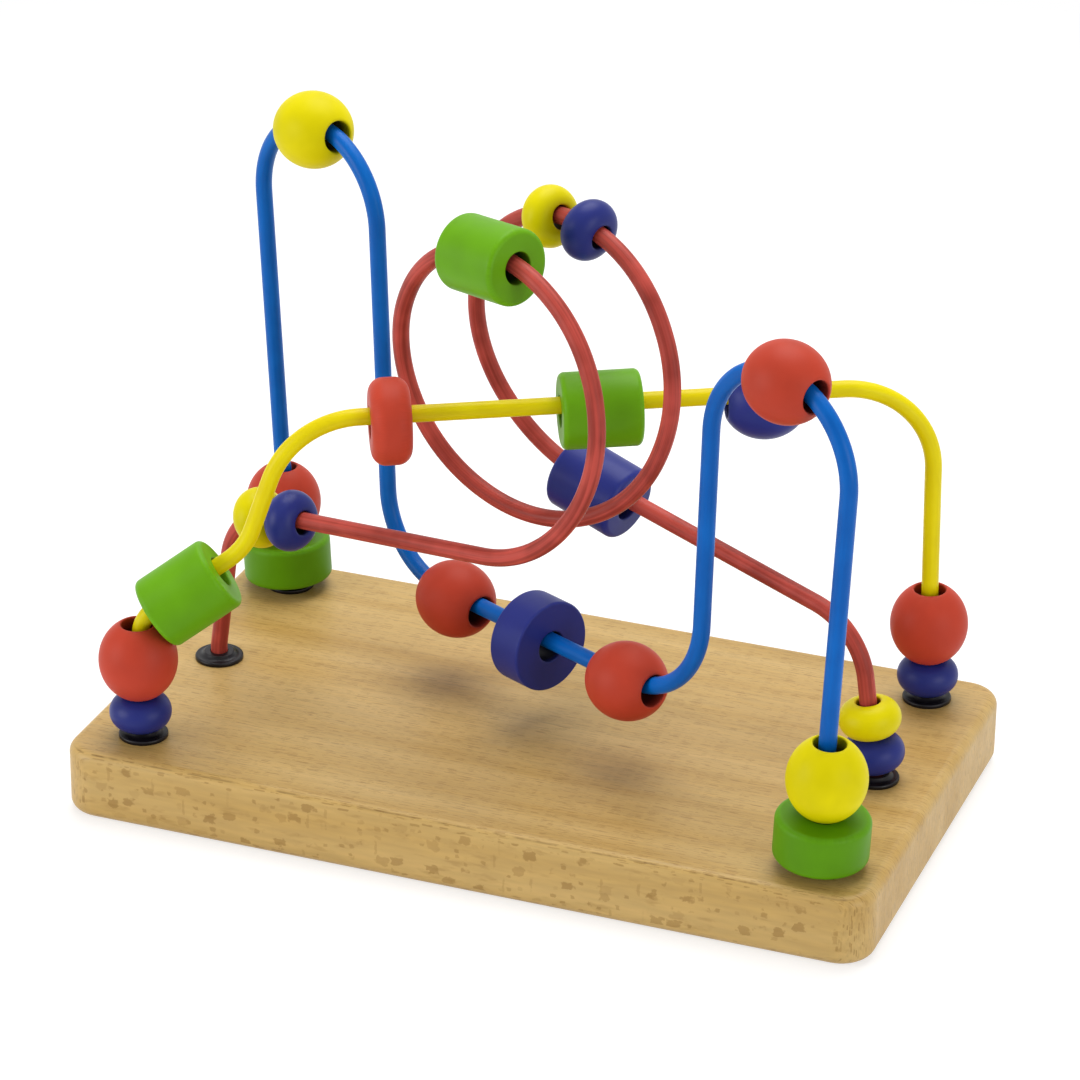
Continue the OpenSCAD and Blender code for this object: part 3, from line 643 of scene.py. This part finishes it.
# Outer half of a ball: an ellipse through its widest point and both lips
def ballSide(s):
    rim, half = s["bore"] / 2 + s["lip"], s["length"] / 2
    across = s["diameter"] / 2
    tall = half / math.sqrt(1 - (rim / across) ** 2)
    reach = math.asin(half / tall)
    t = np.linspace(-reach, reach, turning["sideRows"] + 1)
    return np.stack([across * np.cos(t), tall * np.sin(t)], 1)


# Outer half of an oval: an arc through its widest point and both lips
def ovalSide(s):
    bulge = (s["diameter"] - s["bore"]) / 2 - s["lip"]
    radius = (s["length"] ** 2 / 4 + bulge ** 2) / (2 * bulge)
    reach = math.degrees(math.asin(s["length"] / 2 / radius))
    return arc((s["diameter"] / 2 - radius, 0), radius, -reach, reach, turning["sideRows"])


# Outer half of a barrel, disc or wheel: flat ends, rounded rims and a straight side, with a point close
# to each end of a rounding so that the flats shade flat
def straightSide(s):
    rim, half, outer, edge = s["bore"] / 2 + s["lip"], s["length"] / 2, s["diameter"] / 2, s["edge"]
    near = turning["support"]
    face = np.array([[rim, half], [rim + near, half], [outer - edge - near, half]])
    rounding = arc((outer - edge, half - edge), edge, 90, 0, turning["edgeRows"])
    side = np.array([[outer, half - edge - near]]) if half - edge > near else np.zeros((0, 2))
    top = np.concatenate([face, rounding, side])[::-1]
    return np.concatenate([top[::-1] * [1, -1], top])


# Bead sizes in mm. The lip is the rounded edge of the bore, and the edge that of a flat end
beads = {
    "ball": {"outline": ballSide, "diameter": 24.8, "length": 24.4, "bore": 10.0, "lip": 0.6},
    "oval": {"outline": ovalSide, "diameter": 19.6, "length": 11.4, "bore": 7.6, "lip": 0.6},
    "barrel": {"outline": straightSide, "diameter": 24.0, "length": 25.0, "bore": 10.0, "lip": 0.5,
               "edge": 1.8},
    "greenDisc": {"outline": straightSide, "diameter": 29.2, "length": 14.4, "bore": 10.0, "lip": 0.5,
                  "edge": 2.0},
    "navyDisc": {"outline": straightSide, "diameter": 29.6, "length": 12.6, "bore": 10.0, "lip": 0.5,
                 "edge": 0.8},
    "wheel": {"outline": straightSide, "diameter": 27.2, "length": 12.6, "bore": 10.0, "lip": 0.5,
              "edge": 4.6},
}


# A bead's closed profile goes up its outer half, over the upper lip, down the bore and over the lower lip.
# Its bore tag, which mixes thin paint and painted shade into the bore, rises over the lip and towards the
# middle of the hole
def beadProfile(s):
    outer = s["outline"](s)
    r, half, lip = s["bore"] / 2, s["length"] / 2, s["lip"]
    lipArc = arc((r + lip, half - lip), lip, 90, 180, turning["lipRows"])[1:]
    bore = np.stack([np.full(turning["boreRows"], r),
                     np.linspace(half - lip, lip - half, turning["boreRows"] + 2)[1:-1]], 1)
    profile = np.concatenate([outer, lipArc, bore, (lipArc * [1, -1])[::-1]])
    blend, fade = turning["boreBlend"] * lip, turning["boreFade"] * half
    inBore = np.clip((r + blend - profile[:, 0]) / blend, 0, 1)
    deep = np.clip((half - np.abs(profile[:, 1])) / fade, turning["boreMouth"], 1)
    return profile, inBore * deep


# How far a point lies within a rounded edge, both outwards and endwards, so that flats give 0; the painted
# rim highlight goes there
def rimTag(profile, s):
    if "edge" not in s:
        return np.zeros(len(profile))
    outer, half, edge = s["diameter"] / 2, s["length"] / 2, s["edge"]
    outwards = (profile[:, 0] - (outer - edge)) / edge
    endwards = (np.abs(profile[:, 1]) - (half - edge)) / edge
    return np.clip(np.minimum(outwards, endwards) * turning["rimGain"], 0, 1)


# A bead is its profile turned about its bore: point = place + r (cos a x + sin a y) + z axis
def makeBead(name, s, place, axis):
    profile, inBore = beadProfile(s)
    x = squareTo(axis)
    y = np.cross(axis, x)
    a = wholeTurn(turning["columns"])
    spoke = np.cos(a) * x + np.sin(a) * y
    grid = place + profile[:, :1, None] * spoke + profile[:, 1:, None] * axis
    along = travelled(np.concatenate([profile, profile[:1]]))
    tags = {"bore": inBore, "rim": rimTag(profile, s)}
    return gridPiece(name, grid, along, math.pi * s["diameter"], True, tags)


beadDrop = base["beadPlay"] / 2 - base["restGap"]
ovalDrop = base["ovalPlay"] / 2 - base["restGap"]
archDrop = beadDrop - base["archSlack"]


# A bead on a leg rests on what is below it, t above the bush's collar, and may sit out from its wire by
# shift. A leaning leg lifts it by half the collar times the sine of the lean
def onLeg(foot, way, t, length, shift=0.0):
    lean = math.acos(np.clip(way @ up, -1, 1))
    rise = base["seat"] + base["restGap"] + base["collar"] / 2 * math.sin(lean) - base["foot"]
    outward = unit(np.array([foot[0], foot[1], 0.0]))
    return foot + (rise / math.cos(lean) + t + length / 2) * way + shift * outward, way


# A bead on a straight hangs by drop at distance t from its corner; a tilt in degrees lifts one of its ends
def onRun(route, i, t, drop, tilt=0.0, length=0.0):
    way, a = runDirection(route, i), math.radians(tilt)
    down = unit((way @ up) * way - up)
    place = route["corners"][i] + t * way + (drop - length / 2 * math.sin(abs(a))) * down
    return place, math.cos(a) * way - math.sin(a) * down


# A bead on a bend sits at an angle in degrees from the bend's start, towards its centre by drop
def onBend(route, i, angle, drop):
    b, a = bendAt(route, i), math.radians(angle)
    out = math.sin(a) * b["before"] - math.cos(a) * b["inward"]
    return b["centre"] + (b["radius"] - drop) * out, math.cos(a) * b["before"] + math.sin(a) * b["inward"]


# A bead on a loop sits on the short bend that its angle falls in
def onLoop(angle, drop):
    k = math.floor((angle - red["start"]) / loopStep)
    return onBend(redRoute, firstLoop + k, angle - red["start"] - k * loopStep, drop)


# The foot of a wire's outer leg and the way up from it
def leftLeg(route):
    return route["corners"][1], runDirection(route, 1)


def rightLeg(route):
    return route["corners"][-2], -runDirection(route, len(route["corners"]) - 3)


# Where each bead sits, in mm and degrees, as its CAD node does
spot = {
    "legShift": 0.9, "ovalShift": 0.7, "slopeBarrel": 4.6, "wheel": 30.2, "runBarrel": 18.0,
    "runBall": 53.5, "tallBall": 5.0, "dipLeft": 32.2, "dipLeftTilt": -2.0, "dipDisc": 0.7,
    "dipRight": 31.6, "dipRightTilt": 4.5, "lowBall": 3.0, "shoulderOval": 17.0, "leftRunOval": 6.8,
    "frontBarrel": 94.0, "backBlue": 441.0, "backYellow": 463.0, "rightRunBarrel": 4.8,
    "rightRunTilt": -2.0,
}
ballLength, ovalLength = beads["ball"]["length"], beads["oval"]["length"]
barrelLength, discLength = beads["barrel"]["length"], beads["greenDisc"]["length"]
discTop, ovalTop = discLength + base["restGap"], ovalLength + base["restGap"]
dip, top, slope = corner["dip"], corner["top"], corner["slope"]
dipRun, topRun = runLength(blueRoute, dip), runLength(yellowRoute, top)
dipMiddle = -dipStart / (dipEnd - dipStart) * dipRun
topMiddle = -topStart / (topEnd - topStart) * topRun
tallTurn = math.degrees(bendAt(blueRoute, corner["tall"])["turn"])
shoulder, loopExit = bendAt(redRoute, corner["shoulder"]), bendAt(redRoute, lastLoop)
shoulderTurn = math.degrees(shoulder["turn"])
blueLeft, blueRight = leftLeg(blueRoute), rightLeg(blueRoute)
yellowLeft, yellowRight = (np.array(yellowPoint(-span, footHeight)), up), rightLeg(yellowRoute)
redRight = rightLeg(redRoute)

# Each bead's node, kind, finish and place
beadPlaces = [
    ("back_left_green_disc", "greenDisc", "greenDeep", onLeg(*blueLeft, 0, discLength, spot["legShift"])),
    ("back_left_red_ball", "ball", "red", onLeg(*blueLeft, discTop, ballLength, spot["legShift"])),
    ("tall_arch_yellow_ball", "ball", "yellow",
     onBend(blueRoute, corner["tall"], tallTurn - spot["tallBall"], archDrop)),
    ("dip_left_red_ball", "ball", "red",
     onRun(blueRoute, dip, spot["dipLeft"], beadDrop, spot["dipLeftTilt"], ballLength)),
    ("dip_navy_disc", "navyDisc", "navy", onRun(blueRoute, dip, dipMiddle - spot["dipDisc"], beadDrop)),
    ("dip_right_red_ball", "ball", "red",
     onRun(blueRoute, dip, dipRun - spot["dipRight"], beadDrop, spot["dipRightTilt"], ballLength)),
    ("low_arch_red_ball", "ball", "red", onBend(blueRoute, corner["low"], spot["lowBall"], archDrop)),
    ("front_right_yellow_ball", "ball", "yellow", onLeg(*blueRight, discTop, ballLength, spot["legShift"])),
    ("front_right_green_disc", "greenDisc", "greenDeep",
     onLeg(*blueRight, 0, discLength, spot["legShift"])),
    ("front_left_blue_oval", "oval", "navyGloss", onLeg(*yellowLeft, 0, ovalLength, spot["ovalShift"])),
    ("front_left_red_ball", "ball", "red", onLeg(*yellowLeft, ovalTop, ballLength, spot["legShift"])),
    ("front_left_green_barrel", "barrel", "green",
     onRun(yellowRoute, slope, spot["slopeBarrel"] + barrelLength / 2, beadDrop)),
    ("yellow_run_red_wheel", "wheel", "red", onRun(yellowRoute, top, spot["wheel"], beadDrop)),
    ("yellow_run_green_barrel", "barrel", "green",
     onRun(yellowRoute, top, topMiddle + spot["runBarrel"], beadDrop)),
    ("yellow_run_blue_ball", "ball", "navy", onRun(yellowRoute, top, topRun - spot["runBall"], beadDrop)),
    ("back_right_red_ball", "ball", "red", onLeg(*yellowRight, ovalTop, ballLength)),
    ("back_right_blue_oval", "oval", "navyGloss", onLeg(*yellowRight, 0, ovalLength)),
    ("left_bend_yellow_oval", "oval", "yellowGloss",
     onBend(redRoute, corner["shoulder"], shoulderTurn - spot["shoulderOval"], ovalDrop)),
    ("left_run_blue_oval", "oval", "navyGloss",
     onRun(redRoute, corner["shoulder"], shoulder["setback"] + spot["leftRunOval"], ovalDrop)),
    ("front_loop_green_barrel", "barrel", "green", onLoop(spot["frontBarrel"], beadDrop)),
    ("back_loop_yellow_oval", "oval", "yellowGloss", onLoop(spot["backYellow"], ovalDrop)),
    ("back_loop_blue_oval", "oval", "navyGloss", onLoop(spot["backBlue"], ovalDrop)),
    ("right_run_navy_barrel", "barrel", "navy",
     onRun(redRoute, lastLoop, loopExit["setback"] + spot["rightRunBarrel"], beadDrop, spot["rightRunTilt"],
           barrelLength)),
    ("right_leg_yellow_oval", "oval", "yellowGloss", onLeg(*redRight, ovalTop, ovalLength)),
    ("right_leg_blue_oval", "oval", "navyGloss", onLeg(*redRight, 0, ovalLength)),
]
for node, kind, finish, (place, axis) in beadPlaces:
    piece = makeBead(camelName(node), beads[kind], place, axis)
    dress(piece, node, node + "_body", enamelFinish[finish])
print("beads made,", len(beadPlaces))


# A bush: shank in the board, a thin flange on it, and a hollow slope up to the collar that grips the wire.
# Sizes in mm, sweeps of its roundings in degrees
bush = {
    "bore": 5.5, "shank": 9.0, "shankEnd": 9.0, "flange": 15.6, "rimHeight": 1.4, "rimRound": 0.55,
    "collar": 10.0, "collarRound": 0.4, "mouth": 0.35, "hollow": 0.45, "sag": (0.5, 0.85),
    "rimSweep": (0, 80), "collarSweep": (25, 90), "arcRows": 5, "slopeRows": 12, "columns": 72,
    "support": 0.2, "rimFoot": 0.1, "boreTop": 3.0, "boreFoot": 2.0,
}


# Profile of a bush: the slope from rim to collar sags by a half sine wave
def bushProfile(b):
    floor, seat, near = base["boardTop"], base["seat"], b["support"]
    r, shank, rim, collar = b["bore"] / 2, b["shank"] / 2, b["flange"] / 2, b["collar"] / 2
    rimRound, collarRound, lip = b["rimRound"], b["collarRound"], b["mouth"]
    rimCentre = (rim - rimRound, floor + b["rimHeight"] - rimRound)
    rimArc = arc(rimCentre, rimRound, *b["rimSweep"], b["arcRows"])
    collarCentre = (collar - collarRound, seat - collarRound)
    collarArc = arc(collarCentre, collarRound, *b["collarSweep"], b["arcRows"])
    t = np.linspace(0, 1, b["slopeRows"] + 2)[1:-1, None]
    slope = rimArc[-1] + t * (collarArc[0] - rimArc[-1])
    slope = slope - b["hollow"] * np.sin(math.pi * t) * np.array(b["sag"])
    mouth = arc((r + lip, seat - lip), lip, 90, 180, b["arcRows"])
    under = [[r, b["shankEnd"]], [shank, b["shankEnd"]], [shank, floor - near], [shank, floor],
             [shank + near, floor], [rim - near, floor], [rim, floor + b["rimFoot"]]]
    inside = [[r, seat - b["boreTop"]], [r, b["shankEnd"] + b["boreFoot"]]]
    return np.concatenate([under, rimArc, slope, collarArc, mouth, inside])


# A bush is its profile turned about the upright: point = place + r (cos a x + sin a y) + z up
def makeBush(name, x, y):
    profile = bushProfile(bush)
    a = wholeTurn(bush["columns"])
    spoke = np.cos(a) * np.array([1.0, 0.0, 0.0]) + np.sin(a) * np.array([0.0, 1.0, 0.0])
    grid = np.array([x, y, 0.0]) + profile[:, :1, None] * spoke + profile[:, 1:, None] * up
    along = travelled(np.concatenate([profile, profile[:1]]))
    return gridPiece(name, grid, along, math.pi * bush["flange"], True, {})


for node, x, y in (("front_left_bush", -1, -1), ("back_left_bush", -1, 1), ("left_bush", -1, 0),
                   ("front_right_bush", 1, -1), ("back_right_bush", 1, 1), ("right_bush", 1, 0)):
    piece = makeBush(camelName(node), x * base["bushX"], y * base["bushY"])
    dress(piece, node, "stand", nylonFinish)
print("bushes made")

# The board's CAD node has the right shape and keeps it
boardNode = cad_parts["base_board"]
boardNode.data.materials.clear()
boardNode.data.materials.append(beechFinish)
print("board finished")


# Studio: a white floor that keeps soft shadows, a white surround and three large soft lights, in mm and
# watts
studio = {
    "floorColour": "#BABABA", "floorBounce": "#EEEEEE", "floorGlow": 0.64, "surround": 0.39,
    "floorHalf": 3000, "floorDrop": 0.2,  # half a side, and how far the floor lies below the board
    "fadeFrom": 420, "fadeTo": 800,  # from the middle, where the floor turns plain white
    "lights": [
        {"name": "top", "place": (-50, 450, 1300), "size": 1100, "power": 14.5},
        {"name": "left", "place": (-1050, -900, 450), "size": 900, "power": 8.5},
        {"name": "right", "place": (1250, -550, 450), "size": 900, "power": 5.8},
    ],
    "target": (0, 0, 70),
}


# 1 for rays that show the background: from the camera, off gloss or through glass
def seenRay(t):
    ray = addNode(t, "ShaderNodeLightPath", {})
    seen = addNode(t, "ShaderNodeMath", {0: ray.outputs["Is Camera Ray"], 1: ray.outputs["Is Glossy Ray"]},
                   operation="MAXIMUM")
    return addNode(t, "ShaderNodeMath", {0: seen.outputs[0], 1: ray.outputs["Is Transmission Ray"]},
                   operation="MAXIMUM")


# Matt white paper: light that goes on to the object leaves it as from white paper, and rays that show
# the background see it greyer with a glow, which keeps the shadow, and plain white far off
def floorMaterial(s):
    material, t = newMaterial("mattPaper")
    seen = seenRay(t)
    glow = addNode(t, "ShaderNodeMath", {0: seen.outputs[0], 1: s["floorGlow"]}, operation="MULTIPLY")
    paper = addNode(t, "ShaderNodeMix", {0: seen.outputs[0], 6: hexColour(s["floorBounce"]),
                                         7: hexColour(s["floorColour"])}, data_type="RGBA")
    matt = addNode(t, "ShaderNodeBsdfDiffuse", {"Color": paper.outputs[2]})
    light = addNode(t, "ShaderNodeEmission", {"Strength": glow.outputs[0]})
    both = addNode(t, "ShaderNodeAddShader", {0: matt.outputs[0], 1: light.outputs[0]})
    coords = addNode(t, "ShaderNodeTexCoord", {})
    away = addNode(t, "ShaderNodeVectorMath", {0: coords.outputs["Object"]}, operation="LENGTH")
    far = addNode(t, "ShaderNodeMapRange",
                  {0: away.outputs["Value"], 1: s["fadeFrom"] * mm, 2: s["fadeTo"] * mm})
    plain = addNode(t, "ShaderNodeMath", {0: far.outputs[0], 1: seen.outputs[0]}, operation="MULTIPLY")
    white = addNode(t, "ShaderNodeEmission", {"Strength": 1.0})
    faded = addNode(t, "ShaderNodeMixShader",
                    {0: plain.outputs[0], 1: both.outputs[0], 2: white.outputs[0]})
    addNode(t, "ShaderNodeOutputMaterial", {"Surface": faded.outputs[0]})
    return material


def makeStudio(s):
    half, drop = s["floorHalf"] * mm, -s["floorDrop"] * mm
    ends = ((-1, -1), (1, -1), (1, 1), (-1, 1))
    mesh = bpy.data.meshes.new("floor")
    mesh.from_pydata([(x * half, y * half, drop) for x, y in ends], [], [(0, 1, 2, 3)])
    mesh.materials.append(floorMaterial(s))
    floor = bpy.data.objects.new("floor", mesh)
    scene.collection.objects.link(floor)

    world = bpy.data.worlds.new("studio")
    world.use_nodes = True
    scene.world = world
    t = world.node_tree
    t.nodes.clear()
    seen = seenRay(t)
    strength = addNode(t, "ShaderNodeMapRange", {0: seen.outputs[0], 3: s["surround"], 4: 1.0})
    sky = addNode(t, "ShaderNodeBackground", {"Color": (1, 1, 1, 1), "Strength": strength.outputs[0]})
    addNode(t, "ShaderNodeOutputWorld", {"Surface": sky.outputs[0]})

    target = np.array(s["target"], float) * mm
    for lamp in s["lights"]:
        data = bpy.data.lights.new(lamp["name"], "AREA")
        data.shape, data.size, data.energy = "DISK", lamp["size"] * mm, lamp["power"]
        place = np.array(lamp["place"], float) * mm
        z = unit(place - target)
        x = squareTo(z)
        matrix = np.eye(4)
        matrix[:3, :3] = np.stack([x, np.cross(z, x), z], 1)
        matrix[:3, 3] = place
        light = bpy.data.objects.new(lamp["name"], data)
        light.matrix_world = Matrix(matrix.tolist())
        scene.collection.objects.link(light)


makeStudio(studio)
scene.view_settings.view_transform = "Standard"
print("studio set")
